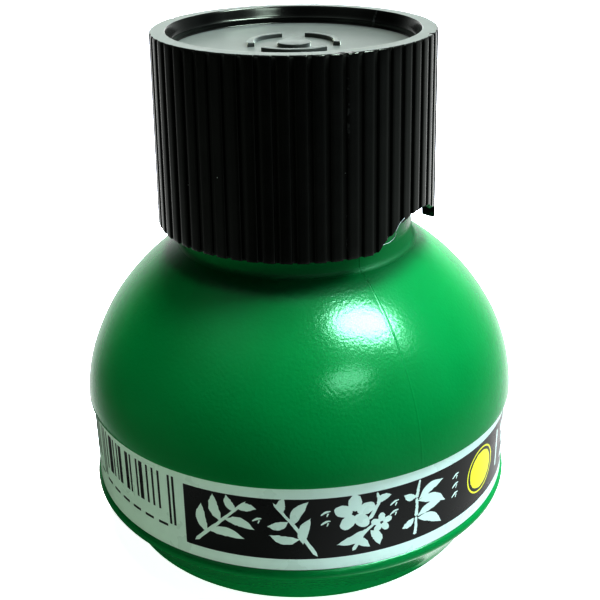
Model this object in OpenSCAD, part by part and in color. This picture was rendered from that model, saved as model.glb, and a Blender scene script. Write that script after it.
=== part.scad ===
// Inkwell: a squat green plastic ink bottle with a wrapped label, a pouring plug in its mouth
// and a fluted black screw cap. +Z is up and the origin is the middle of the resting ring.

/* [Bottle] */
// Radius of the shoulder's sharp lower edge
bottle_r = 28.35; // [26:0.05:32]
// Height of the neck's mouth above the table
mouth_z = 53.5; // [53:0.1:54]
// Radius of the neck under its thread
neck_r = 14.6; // [14:0.1:16]
// Radius of the hole through the neck
mouth_r = 12.8; // [12:0.1:13]
// Thickness of the moulded wall
wall = 1.1; // [0.9:0.1:1.4]
// Height of the shoulder's dome above its centre
dome_h = 24.7; // [24:0.1:25.5]

/* [Label] */
// Height of the label's lower edge
label_z = 7.65; // [7.6:0.05:8]
// Width of the label, from its lower to its upper edge
label_w = 11.65; // [10:0.05:12]
// Thickness of the label film
label_t = 0.1; // [0.05:0.01:0.2]

/* [Cap] */
// Height of the cap's flat top above the table
cap_top_z = 65.6; // [65:0.1:68]
// Height of the skirt's lower edge above the table
skirt_z = 42.25; // [41.5:0.05:43]
// Wall of the skirt at its lower edge
skirt_wall = 1.6; // [1.4:0.1:2]
// How much narrower the skirt is at its top
draft = 0.45; // [0:0.05:0.6]
// Number of grooves round the skirt
grooves = 56; // [24:1:72]
// Width of one groove
groove_w = 0.6; // [0.4:0.05:0.8]
// Depth of one groove
groove_d = 0.35; // [0.2:0.05:0.4]
// Depth of the round recess in the cap's top
recess_d = 2.1; // [1:0.1:2.2]
// Height of the raised emblem in the recess
emblem_h = 0.5; // [0.2:0.1:0.8]

/* [Thread] */
// Rise of the screw thread in one turn
pitch = 4.2; // [4:0.1:4.6]
// Height of the thread's rib above the neck
thread_h = 1.15; // [0.9:0.05:1.2]
// Ribs that make up the neck's thread
neck_ribs = 4; // [3:1:4]
// Ribs that make up the cap's thread
cap_ribs = 3; // [2:1:3]

/* [Plug and liner] */
// Radius of the pouring hole
spout_hole_r = 3.1; // [3:0.1:3.4]
// Wall of the pouring spout
spout_wall = 1.5; // [1:0.1:1.8]
// Thickness of the sealing disc under the cap's top
liner_t = 1.05; // [0.8:0.05:1.2]

/* [Ink] */
// Height of the ink's surface above the table
ink_z = 31; // [24:0.5:32]

/* [Hidden] */
$fn = 96;

gap = 0.05;            // clearance between pieces that only touch
reach = 1;             // how far a cutter runs past the surface it cuts
panel_r = bottle_r - 0.6;  // wall that the label lies on
foot_r = 23.5;         // outer edge of the flat resting ring
foot_w = 2;            // width of the flat resting ring
dish_z = 2.1;          // rise of the base's underside at its middle
bead_r = 0.5;          // rounding of the bead below the label
bead_z = 7;            // height of the bead's crest
ledge_z = label_z + label_w + 0.03;
ledge_w = 0.5;         // height of the shoulder's sharp edge
dome_z = 18.1;         // centre of the shoulder's dome
root_len = 1.4;        // run of the rounding between dome and neck
arc_steps = 20;        // straight steps in the dome's outline
bend_steps = 6;        // straight steps in a small rounding

thread_gap = 0.2;      // radial play between a thread's crest and the other piece's wall
thread_z = mouth_z - 7.6;  // height of the middle of each thread's lowest rib
thread_a = 60;         // direction of the middle of the neck's lowest rib
rib_arc = 120;         // degrees that one rib covers
rib_step = 135;        // degrees from one rib to the next, so that air can pass between them
rib_root_w = 2.6;      // width of a rib where it is buried in its wall
rib_crest_w = 0.94;    // width of a rib's crest
rib_sink = 0.4;        // how deep a rib's root is buried

cap_in_r = neck_r + thread_h + thread_gap;
skirt_r = cap_in_r + skirt_wall;
top_r = skirt_r - draft;
recess_z = cap_top_z - recess_d;
recess_r = top_r - 1.85;
bevel_r = recess_r - 0.55;
ceiling_t = 1.5;
ceiling_z = recess_z - ceiling_t;
liner_z = ceiling_z - liner_t;
liner_r = cap_in_r - 0.75;

chip_turn = -34;       // direction of the broken place in the skirt, from +X
chip_in_r = 12;        // radius at which the broken place's cutter starts
chip_w = 8.05;         // distance from the broken place's middle to its steep end

flange_r = neck_r - 0.3;
flange_t = 1.2;
plug_len = 6;          // length of the plug's skirt inside the neck
plug_wall = 1.2;
plug_bead = 0.05;      // how far the plug's sealing beads press into the neck
spout_r = spout_hole_r + spout_wall;
spout_lip = 0.4;       // how far the spout's lip stands out

// Points on an ellipse about [cx, cz], from angle a0 to a1.
function arc(cx, cz, rx, rz, a0, a1, steps) =
    [for (i = [0 : steps]) let (a = a0 + (a1 - a0) * i / steps) [cx + rx * cos(a), cz + rz * sin(a)]];

// Points on a curve from p0 to p2 that heads for p1 at both ends.
function bend(p0, p1, p2) =
    [for (i = [0 : bend_steps]) let (t = i / bend_steps)
        (1 - t) * (1 - t) * p0 + 2 * t * (1 - t) * p1 + t * t * p2];

// Height of an upright ellipse at radius r.
function dome_at(r, rx, rz) = dome_z + rz * sqrt(1 - (r / rx) * (r / rx));

// Outline of the bottle's outside, from the middle of the base to the mouth.
function outside() =
    let (
        root = neck_r + root_len,
        low = asin((ledge_z + ledge_w - dome_z) / dome_h),
        high = acos(root / bottle_r),
        on_neck = [neck_r, dome_at(neck_r, bottle_r, dome_h)]
    )
    concat(
        bend([0, dish_z], [foot_r / 3, dish_z], [foot_r - foot_w - 1, 0.9]),
        [[foot_r - foot_w, 0]],
        bend([foot_r, 0], [foot_r + 0.75, 0.15], [foot_r + 1.25, 1.8]),
        [[panel_r - 1.75, 3.3]],
        arc(panel_r - 0.05, bead_z, bead_r, bead_r, -50, 70, bend_steps),
        [[panel_r, label_z], [panel_r, ledge_z], [bottle_r, ledge_z], [bottle_r, ledge_z + ledge_w]],
        arc(0, dome_z, bottle_r, dome_h, low, high, arc_steps),
        bend([root, dome_at(root, bottle_r, dome_h)], on_neck, on_neck + [0, root_len]),
        [[neck_r, mouth_z - 0.4], [neck_r - 0.4, mouth_z]]
    );

// Outline of the hollow, from its floor up to the neck, drawn in by g.
function inside(g) =
    let (rx = bottle_r - wall - 0.1 - g, rz = dome_h - wall - 0.1 - g, side = panel_r - wall - g)
    concat(
        bend([0, dish_z + wall + g], [foot_r / 3, dish_z + wall + g], [foot_r - foot_w - 0.5, wall + 0.9 + g]),
        [[foot_r - 0.4 - g, wall + 0.2 + g], [panel_r - 2.9 - g, 3.9], [side, 6.6], [side, ledge_z - 0.6]],
        arc(0, dome_z, rx, rz, asin((ledge_z + 0.4 - dome_z) / rz), acos(mouth_r / rx), arc_steps)
    );

// One rib of a thread, centred on +X and tilted so that its ends lie on the screw line.
// It stands out from the radius root by height, or into a ring where height is negative.
module rib(root, height) {
    buried_r = root - sign(height) * rib_sink;
    crest_r = root + height;
    lead = asin(pitch * rib_arc / 720 / ((root + height / 2) * sin(rib_arc / 2)));
    rotate([lead, 0, 0])
        rotate([0, 0, -rib_arc / 2])
            rotate_extrude(angle = rib_arc)
                polygon([
                    [buried_r, -rib_root_w / 2], [crest_r, -rib_crest_w / 2],
                    [crest_r, rib_crest_w / 2], [buried_r, rib_root_w / 2]
                ]);
}

// Right-hand thread of separate ribs on one screw line, the lowest in direction a0.
module thread(ribs, a0, root, height) {
    for (i = [0 : ribs - 1])
        rotate([0, 0, a0 + rib_step * i])
            translate([0, 0, thread_z + pitch * rib_step * i / 360])
                rib(root, height);
}

// Blow-moulded shell with a dished base, a panel for the label, a domed shoulder and a neck.
module bottle() {
    color([0.02, 0.4, 0.2])
    union() {
        difference() {
            rotate_extrude()
                polygon(concat(outside(), [[0, mouth_z]]));
            rotate_extrude()
                polygon(concat(inside(0), [[mouth_r, mouth_z - 1], [mouth_r, mouth_z + reach], [0, mouth_z + reach]]));
        }
        thread(neck_ribs, thread_a, neck_r, thread_h);
    }
}

// Printed film wrapped round the panel.
module label() {
    color([0.1, 0.11, 0.1])
    rotate_extrude()
        translate([panel_r + gap / 5, label_z])
            square([label_t, label_w]);
}

// Outline of the pouring plug: skirt in the neck, flange on the mouth and a spout in the middle.
function plug_outline() =
    let (
        low = mouth_z - plug_len,
        plate = mouth_z + flange_t,
        tip = liner_z - gap,
        skirt_in = mouth_r - plug_wall
    )
    concat(
        [[spout_hole_r, mouth_z - 1], [skirt_in, mouth_z - 0.1], [skirt_in, low + 0.5]],
        [[mouth_r - 0.6, low], [mouth_r - 0.1, low + 1.2], [mouth_r + plug_bead, low + 1.7]],
        [[mouth_r - 0.02, low + 2.2], [mouth_r - 0.02, mouth_z - 1.2], [mouth_r + plug_bead, mouth_z - 0.8]],
        [[mouth_r - 0.02, mouth_z - 0.4], [mouth_r - 0.02, mouth_z], [flange_r, mouth_z]],
        arc(flange_r - 0.4, plate - 0.4, 0.4, 0.4, 0, 90, bend_steps),
        bend([spout_r + 1.2, plate], [spout_r, plate], [spout_r, plate + 1.2]),
        [[spout_r, tip - 1.6], [spout_r + spout_lip, tip - 0.8]],
        bend([spout_r + spout_lip, tip - 0.4], [spout_r + spout_lip, tip], [spout_r, tip]),
        [[spout_hole_r + 0.3, tip], [spout_hole_r, tip - 0.3]]
    );

// Soft stopper with a pouring spout, pressed into the neck.
module inner_plug() {
    color([0.9, 0.9, 0.86])
    rotate_extrude()
        polygon(plug_outline());
}

// The filling, up to a level surface.
module ink() {
    color([0.02, 0.02, 0.03])
    rotate_extrude()
        intersection() {
            polygon(concat(inside(gap), [[0, dome_z + dome_h]]));
            square([bottle_r, ink_z]);
        }
}

// Foam disc that the cap presses on the spout's lip.
module cap_liner() {
    color([0.88, 0.88, 0.85])
    translate([0, 0, liner_z])
        cylinder(r = liner_r, h = liner_t - gap / 2);
}

// Drop in a broken ring, raised from the recess's floor.
module emblem() {
    ring_r = 5.6;
    ring_w = 0.8;
    parts = 3;
    open = 34;
    drop_r = 2;
    tip = 4.1;
    touch = acos(drop_r / tip);
    side = [drop_r * sin(touch), drop_r * cos(touch)];
    translate([0, 0, recess_z - gap]) {
        linear_extrude(emblem_h + gap)
            translate([0, -0.8]) {
                circle(r = drop_r);
                polygon([[0, tip], [-side[0], side[1]], side]);
            }
        for (i = [0 : parts - 1])
            rotate([0, 0, 360 / parts * i + 90 + open / 2])
                rotate_extrude(angle = 360 / parts - open)
                    translate([ring_r - ring_w, 0])
                        square([ring_w, emblem_h + gap]);
    }
}

// Straight groove down the skirt, which follows its draft.
module groove() {
    run = cap_top_z - skirt_z;
    translate([skirt_r - groove_d, 0, skirt_z])
        rotate([0, -atan(draft / run), 0])
            translate([0, -groove_w / 2, -reach])
                cube([groove_d + reach, groove_w, run + 2 * reach]);
}

// Piece broken out of the skirt's lower edge: a rising curve that ends in a steep face.
module chip() {
    rotate([0, 0, chip_turn])
        translate([chip_in_r, 0, skirt_z])
            rotate([90, 0, 90])
                linear_extrude(skirt_r)
                    polygon(concat(
                        [[-7.7, -reach], [-7.6, 0]],
                        bend([-7.4, 0.3], [-4.6, 3.7], [-0.6, 3.85]),
                        bend([0.6, 3.85], [2, 3.7], [4.2, 2.5]),
                        [[chip_w, 1.6], [chip_w, -reach]]
                    ));
}

// Moulded cap: fluted skirt with a thread inside, and a recessed top with a raised emblem.
// A piece is broken out of the skirt.
module cap() {
    color([0.05, 0.05, 0.05])
    difference() {
        union() {
            rotate_extrude()
                polygon([
                    [0, ceiling_z], [cap_in_r - 0.6, ceiling_z], [cap_in_r, ceiling_z - 0.6],
                    [cap_in_r, skirt_z + 0.8], [cap_in_r + 0.35, skirt_z], [skirt_r - 0.2, skirt_z],
                    [skirt_r, skirt_z + 0.2], [top_r, cap_top_z - 0.25], [top_r - 0.25, cap_top_z],
                    [recess_r, cap_top_z], [bevel_r, cap_top_z - recess_d * 0.65],
                    [bevel_r - 0.1, recess_z], [0, recess_z]
                ]);
            // Starting opposite the neck's thread at the same height puts it half a pitch below.
            thread(cap_ribs, thread_a + 180, cap_in_r, -thread_h);
            emblem();
        }
        for (i = [0 : grooves - 1])
            rotate([0, 0, 360 / grooves * (i - 0.2) - 90])
                groove();
        chip();
    }
}

bottle();
label();
inner_plug();
ink();
cap_liner();
cap();
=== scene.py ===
import math
import random

import bmesh
import bpy
import numpy as np
from mathutils import Matrix, Quaternion, Vector, geometry

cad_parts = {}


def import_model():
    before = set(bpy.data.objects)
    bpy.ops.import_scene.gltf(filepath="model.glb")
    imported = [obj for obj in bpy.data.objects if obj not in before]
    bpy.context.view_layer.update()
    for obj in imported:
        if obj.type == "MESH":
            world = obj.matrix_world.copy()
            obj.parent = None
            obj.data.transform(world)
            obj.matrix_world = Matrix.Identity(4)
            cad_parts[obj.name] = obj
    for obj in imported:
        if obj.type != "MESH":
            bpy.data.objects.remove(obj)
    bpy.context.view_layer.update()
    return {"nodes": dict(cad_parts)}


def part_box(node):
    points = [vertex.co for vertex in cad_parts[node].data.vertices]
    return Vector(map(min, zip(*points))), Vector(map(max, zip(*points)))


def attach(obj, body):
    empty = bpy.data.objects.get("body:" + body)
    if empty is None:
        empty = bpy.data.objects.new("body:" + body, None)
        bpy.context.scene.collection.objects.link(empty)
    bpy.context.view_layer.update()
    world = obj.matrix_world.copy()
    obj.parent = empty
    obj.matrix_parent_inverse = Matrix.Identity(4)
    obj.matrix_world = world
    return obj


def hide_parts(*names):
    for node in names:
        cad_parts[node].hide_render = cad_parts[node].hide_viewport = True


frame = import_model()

MM = 0.001


# ------------------------------------ sizes, in mm, from the frame


def span(node):
    """A CAD node's lowest and highest corners, in mm."""
    low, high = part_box(node)
    return low / MM, high / MM


bottle_high = span("bottle")[1]
label_low, label_high = span("label")
plug_low, plug_high = span("inner_plug")
liner_low, liner_high = span("cap_liner")
cap_low, cap_high = span("cap")

# R is a radius, Z a height above the table, T a thickness, H a height above the wall it stands on,
# and A a bearing in degrees: 0 towards the camera, 90 to the right.
BOTTLE_R = bottle_high.x
MOUTH_Z = bottle_high.z
NECK_R = 14.6
MOUTH_R = 12.8
WALL = 1.1
FILM_R = label_high.x
FILM_T = 0.1
PANEL_R = FILM_R - 0.11
LEDGE_Z = label_high.z + 0.03
NECK_FOOT_Z = 40.0
SEAM_A = 29.4

SKIRT_Z = cap_low.z
CAP_TOP = cap_high.z
SKIRT_R = cap_high.x
TOP_R = SKIRT_R - 0.45
CAP_IN_R = 15.95
RECESS_Z = CAP_TOP - 2.1
CEILING_Z = RECESS_Z - 1.5
RECESS_R = TOP_R - 1.85
BEVEL_R = RECESS_R - 0.52
BEVEL_Z = CAP_TOP - 1.36
GROOVES = 56
GROOVE_H = 0.35

PITCH = 4.2
THREAD_H = 1.15
THREAD_Z = MOUTH_Z - 7.6
THREAD_A = 150.0
RIB_ARC = 120.0
RIB_STEP = 135.0
RIB_HALF = 1.05  # half of a rib's height at its foot
RIB_FLANK = 0.6  # how much of that its slope takes up
RIB_FADE = 7.0  # degrees over which a rib's end sinks into the wall

random_source = random.Random(7)


# ------------------------------------ outlines: lists of (radius, height)


def arc(cx, cz, r, a0, a1, steps):
    """Points on a circle about (cx, cz), from angle a0 to a1 in degrees."""
    angles = np.radians(np.linspace(a0, a1, steps + 1))
    return [(cx + r * math.cos(a), cz + r * math.sin(a)) for a in angles]


def straight(p, q, step):
    """Points from p to q, no further apart than step, without the last one."""
    count = max(1, math.ceil(math.dist(p, q) / step))
    return [tuple(np.add(p, np.subtract(q, p) * i / count)) for i in range(count)]


def spline(points, steps):
    """A smooth curve through the points."""
    p = [np.array(q, float) for q in points]
    p = [2 * p[0] - p[1], *p, 2 * p[-1] - p[-2]]
    made = []
    for a, b, c, d in zip(p, p[1:], p[2:], p[3:]):
        for i in range(steps):
            t = i / steps
            square = 2 * a - 5 * b + 4 * c - d
            cube = 3 * b - a - 3 * c + d
            made.append(tuple(0.5 * (2 * b + (c - a) * t + square * t * t + cube * t**3)))
    return made + [tuple(p[-2])]


def dome(r, z0, h, power, t0, t1, steps):
    """Points on a superellipse of radius r and height h, from angle t0 to t1 in degrees."""
    angles = np.radians(np.linspace(t0, t1, steps + 1))
    return [(r * math.cos(a) ** (2 / power), z0 + h * math.sin(a) ** (2 / power)) for a in angles]


def smooth(t):
    """Eases from 0 to 1."""
    t = np.clip(t, 0, 1)
    return t * t * (3 - 2 * t)


# ------------------------------------ meshes


def new_object(name, mesh, body, slot, *materials):
    """Adds a mesh as a piece that rides on a body, with the materials given. Its slot is not used."""
    piece = bpy.data.objects.new(name, mesh)
    bpy.context.scene.collection.objects.link(piece)
    for material in materials:
        mesh.materials.append(material)
    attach(piece, body)
    return piece


def grid_mesh(name, points, closed_ends):
    """A closed surface through a grid of points in mm: rows run round, and each end row is a pole.
    With closed_ends False, the last row joins the first instead."""
    rows, columns, _ = points.shape
    k = np.arange(columns)
    following = (k + 1) % columns
    faces = []
    if closed_ends:
        vertices = [points[0, 0], *points[1:-1].reshape(-1, 3), points[-1, 0]]
        last = len(vertices) - 1
        for a, b in zip(k, following):
            faces.append((0, 1 + b, 1 + a))
            faces.append((last, last - columns + a, last - columns + b))
        joins = [(1 + i * columns, 1 + (i + 1) * columns) for i in range(rows - 3)]
    else:
        vertices = points.reshape(-1, 3)
        joins = [(i * columns, (i + 1) % rows * columns) for i in range(rows)]
    for low, high in joins:
        faces.extend(zip(low + k, low + following, high + following, high + k))
    mesh = bpy.data.meshes.new(name)
    mesh.from_pydata((np.array(vertices) * MM).tolist(), [], [tuple(int(v) for v in f) for f in faces])
    tidy(mesh)
    return mesh


def tidy(mesh, sharp=50):
    """Points every face outwards and smooths all but the sharp edges."""
    work = bmesh.new()
    work.from_mesh(mesh)
    bmesh.ops.remove_doubles(work, verts=work.verts, dist=1e-7)
    bmesh.ops.recalc_face_normals(work, faces=work.faces)
    work.to_mesh(mesh)
    work.free()
    mesh.shade_smooth()
    mesh.set_sharp_from_angle(angle=math.radians(sharp))


def turned(outline, bearings, shift=None):
    """A grid of points: the outline turned round the Z axis. shift(r, z, bearings, row) gives each
    row's radii where they aren't all r."""
    rows = []
    sin, cos = np.sin(np.radians(bearings)), np.cos(np.radians(bearings))
    for row, (r, z) in enumerate(outline):
        radii = np.full(len(bearings), float(r))
        if shift is not None and r > 0:
            radii = shift(r, z, bearings, row)
        rows.append(np.stack([radii * sin, -radii * cos, np.full(len(bearings), z)], -1))
    return np.array(rows)


def away(bearings, centre):
    """Signed degrees from the centre bearing, from -180 to 180."""
    return (bearings - centre + 180) % 360 - 180


def thread(z, bearings, first, ribs):
    """How much of the thread's height stands at height z: 0 to 1 at each bearing."""
    height = np.zeros(len(bearings))
    for i in range(ribs):
        along = away(bearings, first + RIB_STEP * i)
        middle = THREAD_Z + PITCH * (RIB_STEP * i + along) / 360
        across = smooth((RIB_HALF - np.abs(z - middle)) / RIB_FLANK)
        ends = smooth((RIB_ARC / 2 - np.abs(along)) / RIB_FADE)
        height = np.maximum(height, across * ends)
    return height


def pressed(outline, reach=0.25):
    """An outline with its long stretches cut up, so that shading stays even."""
    made = []
    for p, q in zip(outline, outline[1:]):
        made += straight(p, q, reach)
    return made + [outline[-1]]


# ------------------------------------ bottle


def bottle():
    """The blow-moulded shell, with the seam where the two halves of its mould met."""
    seams = [SEAM_A, SEAM_A + 180]
    seam_width, seam_height, seam_step = 0.36, 0.05, 0.02
    near_seam = [-1.0, -0.6, -seam_width, -0.2, -0.1, 0.0, 0.1, 0.2, seam_width, 0.6, 1.0]
    even = [b for b in np.arange(0, 360, 1.25) if all(abs(away(b, s)) > 1.3 for s in seams)]
    bearings = np.array(sorted(even + [s + step for s in seams for step in near_seam]))
    waviness, lean = 0.012, 0.13

    base = spline([(0.0, 2.1), (8.0, 2.05), (15.0, 1.75), (19.4, 1.15), (20.8, 0.5)], 6)
    foot = spline([
        (21.5, 0.0), (22.4, 0.0), (23.3, 0.0), (24.0, 0.35), (24.45, 1.0), (24.85, 2.0), (25.55, 3.1),
        (26.25, 4.1), (26.95, 5.05), (27.75, 5.95), (28.15, 6.55), (28.2, 7.05), (27.98, 7.45),
    ], 6)
    panel = pressed([(PANEL_R, label_low.z - 0.05), (PANEL_R, LEDGE_Z - 0.02)], 0.8)
    ledge = [(BOTTLE_R - 0.3, LEDGE_Z)] + arc(BOTTLE_R - 0.12, LEDGE_Z + 0.09, 0.09, -90, 0, 4)
    dome_z, dome_h, power = 19.14, 24.85, 1.87
    low = math.degrees(math.asin(((LEDGE_Z + 0.55 - dome_z) / dome_h) ** (power / 2)))
    shoulder = dome(BOTTLE_R - 0.03, dome_z, dome_h, power, low, 56.2, 88)
    root = spline([
        shoulder[-1], (14.9, 39.76), (14.78, 40.08), (14.71, 40.6), (14.68, 41.2), (NECK_R, 42.0),
    ], 5)[1:]
    neck = pressed([(NECK_R, 42.0), (NECK_R, 43.2)], 0.5)[1:]
    neck += pressed([(NECK_R, 43.2), (NECK_R, 53.0)], 0.13)[1:]
    lip = arc(NECK_R - 0.4, MOUTH_Z - 0.4, 0.4, 10, 90, 5)
    lip += arc(MOUTH_R + 0.3, MOUTH_Z - 0.3, 0.3, 90, 180, 4)
    outside = base + foot + panel + ledge + shoulder + root + neck + lip

    bore = pressed([(MOUTH_R, MOUTH_Z - 0.5), (MOUTH_R, 39.4)], 1.5)
    in_r, in_h = BOTTLE_R - WALL - 0.1, dome_h - WALL - 0.1
    hollow = dome(in_r, dome_z, in_h, power, 59.5, 3, 40)
    side = pressed([(PANEL_R - WALL, LEDGE_Z - 0.7), (PANEL_R - WALL, 6.8)], 1.5)
    heel = spline([
        (PANEL_R - WALL - 0.3, 6.2), (25.2, 4.4), (24.0, 2.6), (22.9, 1.5), (21.0, 1.75), (15.0, 2.9),
        (8.0, 3.2), (0.0, 3.25),
    ], 5)
    outline = outside + bore + hollow + side + heel
    outer_rows = len(outside)
    round_rows = 8  # at the lip's top, above the thread
    neck_rows = range(outer_rows - len(neck + lip), outer_rows - round_rows)

    def shape(r, z, at, row):
        radii = np.full(len(at), float(r))
        if row >= outer_rows:
            return radii
        if row in neck_rows:
            radii += THREAD_H * thread(z, at, THREAD_A, 4)
        turn = np.radians(at)
        if LEDGE_Z + 0.6 < z < NECK_FOOT_Z:
            ripple = np.sin(3 * turn + 0.35 * z) * np.sin(0.8 * z + 1) + 0.6 * np.sin(7 * turn - 0.5 * z)
            radii -= waviness * (ripple + 1.6) * smooth((z - LEDGE_Z - 0.6) / 3)
            radii += lean * np.sin(turn) * smooth((z - LEDGE_Z - 1) / 9) * smooth((NECK_FOOT_Z - z) / 2.5)
        if 0.3 < z < 43 and not label_low.z - 0.1 < z < LEDGE_Z + 0.2:
            for seam in seams:
                ridge = smooth(1 - np.abs(away(at, seam)) / seam_width)
                step = smooth(0.5 - away(at, seam) / 0.2) * smooth(1 - np.abs(away(at, seam)))
                sharpness = 0.35 + 0.65 * smooth((z - 30) / 6)
                radii += sharpness * (seam_height * ridge - seam_step * step)
        return np.minimum(radii, BOTTLE_R)

    points = turned(outline, bearings, shape)
    seam = np.radians(SEAM_A)
    across = points[..., 0] * math.cos(seam) + points[..., 1] * math.sin(seam)
    reach = np.hypot(points[..., 0], points[..., 1])
    pinch_half, pinch_end, pinch_depth = 0.55, 18.5, 0.35
    pinch = smooth(1 - np.abs(across) / pinch_half) * smooth((pinch_end - reach) / 2)
    points[: len(base), :, 2] -= pinch_depth * pinch[: len(base)]
    points[..., 2] = np.maximum(points[..., 2], 0.0)
    mesh = grid_mesh("bottle_shell", points, True)
    piece = new_object("bottle_shell", mesh, "bottle_body", "bottle", green_plastic())
    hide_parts("bottle")


# ------------------------------------ label


def blob(cx, cz, rx, rz, turn=0.0, count=24, rough=0.0):
    """A closed ellipse outline in label coordinates, with a slightly uneven edge."""
    made = []
    for i in range(count):
        a = 2 * math.pi * i / count
        k = 1 + rough * random_source.uniform(-1, 1)
        x, z = rx * k * math.cos(a), rz * k * math.sin(a)
        t = math.radians(turn)
        made.append((cx + x * math.cos(t) - z * math.sin(t), cz + x * math.sin(t) + z * math.cos(t)))
    return made


def stroke(points, widths, rough=0.04):
    """The outline of a brush stroke along the points, as wide as widths say along its length."""
    line = spline(points, 6)
    count = len(line)
    wide = np.interp(np.linspace(0, 1, count), np.linspace(0, 1, len(widths)), widths)
    left, right = [], []
    for i, (x, z) in enumerate(line):
        before, after = line[max(i - 1, 0)], line[min(i + 1, count - 1)]
        dx, dz = after[0] - before[0], after[1] - before[1]
        length = math.hypot(dx, dz)
        nx, nz = -dz / length, dx / length
        half = wide[i] / 2
        left.append((x + nx * half + random_source.uniform(-rough, rough),
                     z + nz * half + random_source.uniform(-rough, rough)))
        right.append((x - nx * half + random_source.uniform(-rough, rough),
                      z - nz * half + random_source.uniform(-rough, rough)))
    (x0, z0), (x1, z1) = line[-1], line[-2]
    tip = (x0 + (x0 - x1) * 0.8, z0 + (z0 - z1) * 0.8)
    (x0, z0), (x1, z1) = line[0], line[1]
    tail = (x0 - (x1 - x0) * 0.8, z0 - (z1 - z0) * 0.8)
    return left + [tip] + right[::-1] + [tail]


def leaf(x, z, angle, length, width):
    """A pointed leaf from (x, z): a brush stroke that swells in the middle."""
    a, droop = math.radians(angle), math.radians(angle + 12)
    middle = (x + math.cos(droop) * length * 0.5, z + math.sin(droop) * length * 0.5)
    end = (x + math.cos(a) * length, z + math.sin(a) * length)
    return stroke([(x, z), middle, end], [0.2 * width, 0.85 * width, width, 0.8 * width, 0.15 * width])


def sprig(cx, cz, leaves, stems, petals):
    """Leaves (x, z, angle, length, width), stems and five-petalled flowers (x, z, size) about (cx, cz)."""
    made = [stroke([(cx + x, cz + z) for x, z in stem], [0.5, 0.42, 0.34]) for stem in stems]
    made += [leaf(cx + x, cz + z, angle, length, width) for x, z, angle, length, width in leaves]
    for x, z, size in petals:
        for turn in range(18, 378, 72):
            a, out = math.radians(turn), 0.62 * size
            middle = (cx + x + out * math.cos(a), cz + z + out * math.sin(a))
            made.append(blob(*middle, 0.5 * size, 0.36 * size, turn, 16, 0.05))
    return made


# Each is a sprig's leaves, its stems and its flowers, as sprig() takes them.
SPRIGS = [
    (
        [(-2.4, -2.0, 98, 3.7, 1.35), (-1.8, -1.7, -4, 4.0, 1.35), (-0.5, 0.0, 104, 3.5, 1.35),
         (0.3, 0.3, -14, 3.3, 1.3), (1.4, 1.7, 118, 2.2, 1.1), (1.9, 2.1, 8, 2.0, 1.1)],
        [[(-3.6, -3.3), (-0.4, 0.0), (2.4, 2.9)]],
        [],
    ),
    (
        [(1.2, -2.2, 76, 3.4, 1.3), (0.7, -1.7, 172, 3.3, 1.25), (0.0, 0.4, 60, 3.5, 1.3),
         (-0.6, 0.7, 196, 2.3, 1.15), (-1.2, 2.0, 84, 2.0, 1.05)],
        [[(2.6, -3.7), (0.2, 0.2), (-1.9, 3.0)]],
        [],
    ),
    (
        [(0.2, -1.2, 205, 3.6, 1.3), (0.9, -1.5, -62, 2.4, 1.2), (-1.6, -2.3, -30, 2.6, 1.15),
         (1.6, 2.4, 20, 1.8, 1.0)],
        [[(-1.2, -3.6), (0.2, -1.4), (2.4, 0.2)], [(0.8, 0.4), (1.8, 2.4), (1.6, 3.6)]],
        [(-1.1, 1.4, 2.3), (2.2, -0.6, 1.25)],
    ),
    (
        [(-1.7, 1.6, 158, 1.7, 1.0), (-1.1, 1.2, 22, 3.6, 1.3), (-1.2, 0.9, -20, 4.2, 1.3),
         (-1.2, -1.2, 12, 3.2, 1.2), (-1.2, -1.6, -28, 3.9, 1.3), (-2.0, -1.4, 214, 1.7, 1.0)],
        [[(-1.7, -3.7), (-1.55, -2.5), (-1.6, -1.4)], [(-1.6, -1.1), (-1.5, 0.0), (-1.55, 1.2)],
         [(-1.55, 1.5), (-1.4, 2.6), (-1.2, 3.7)]],
        [],
    ),
]


def dabs(cx, cz, count):
    """Small brush dabs, one above another."""
    made = []
    for i in range(count):
        z = cz + (i - (count - 1) / 2) * 1.35
        curve = [(cx - 0.55, z - 0.25), (cx, z + 0.12), (cx + 0.5, z + 0.2)]
        made.append(stroke(curve, [0.2, 0.34, 0.16], 0.02))
        made.append(stroke([(cx + 0.25, z - 0.1), (cx + 0.1, z - 0.5)], [0.24, 0.14], 0.02))
    return made


def box_outline(x0, x1, z0, z1):
    """A rectangle's corners."""
    return [(x0, z0), (x1, z0), (x1, z1), (x0, z1)]


def bars(x0, module, z0, z1, low):
    """A made-up row of bars between two pairs of long ones, with a third pair in the middle."""
    made = []
    guards = [0, 2, 46, 48, 92, 94]
    at = 3
    while at < 92:
        width = random_source.choice([1, 1, 2, 3])
        space = random_source.choice([1, 1, 2, 2, 3])
        if not any(at - 1 <= g <= at + width + 1 for g in guards):
            made.append(box_outline(x0 + at * module, x0 + (at + width) * module, z0, z1))
        at += width + space
    for g in guards:
        made.append(box_outline(x0 + g * module, x0 + (g + 1) * module, low, z1))
    return made


def inside(points, outline):
    """Which of the points lie inside the closed outline."""
    x, z = points.T
    hit = np.zeros(len(points), bool)
    for (x0, z0), (x1, z1) in zip(outline, outline[1:] + outline[:1]):
        if z0 != z1:
            hit ^= ((z0 > z) != (z1 > z)) & (x < (x1 - x0) * (z - z0) / (z1 - z0) + x0)
    return hit


PAPER, BLACK, YELLOW = 0, 1, 2  # places of the film's materials


DEGREE = math.radians(1) * FILM_R  # one degree's length along the film
LAP = 4.0  # degrees of the film's end that lie over its start
FILM_START = -184.0
FILM_END = FILM_START + 360 + LAP


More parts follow.
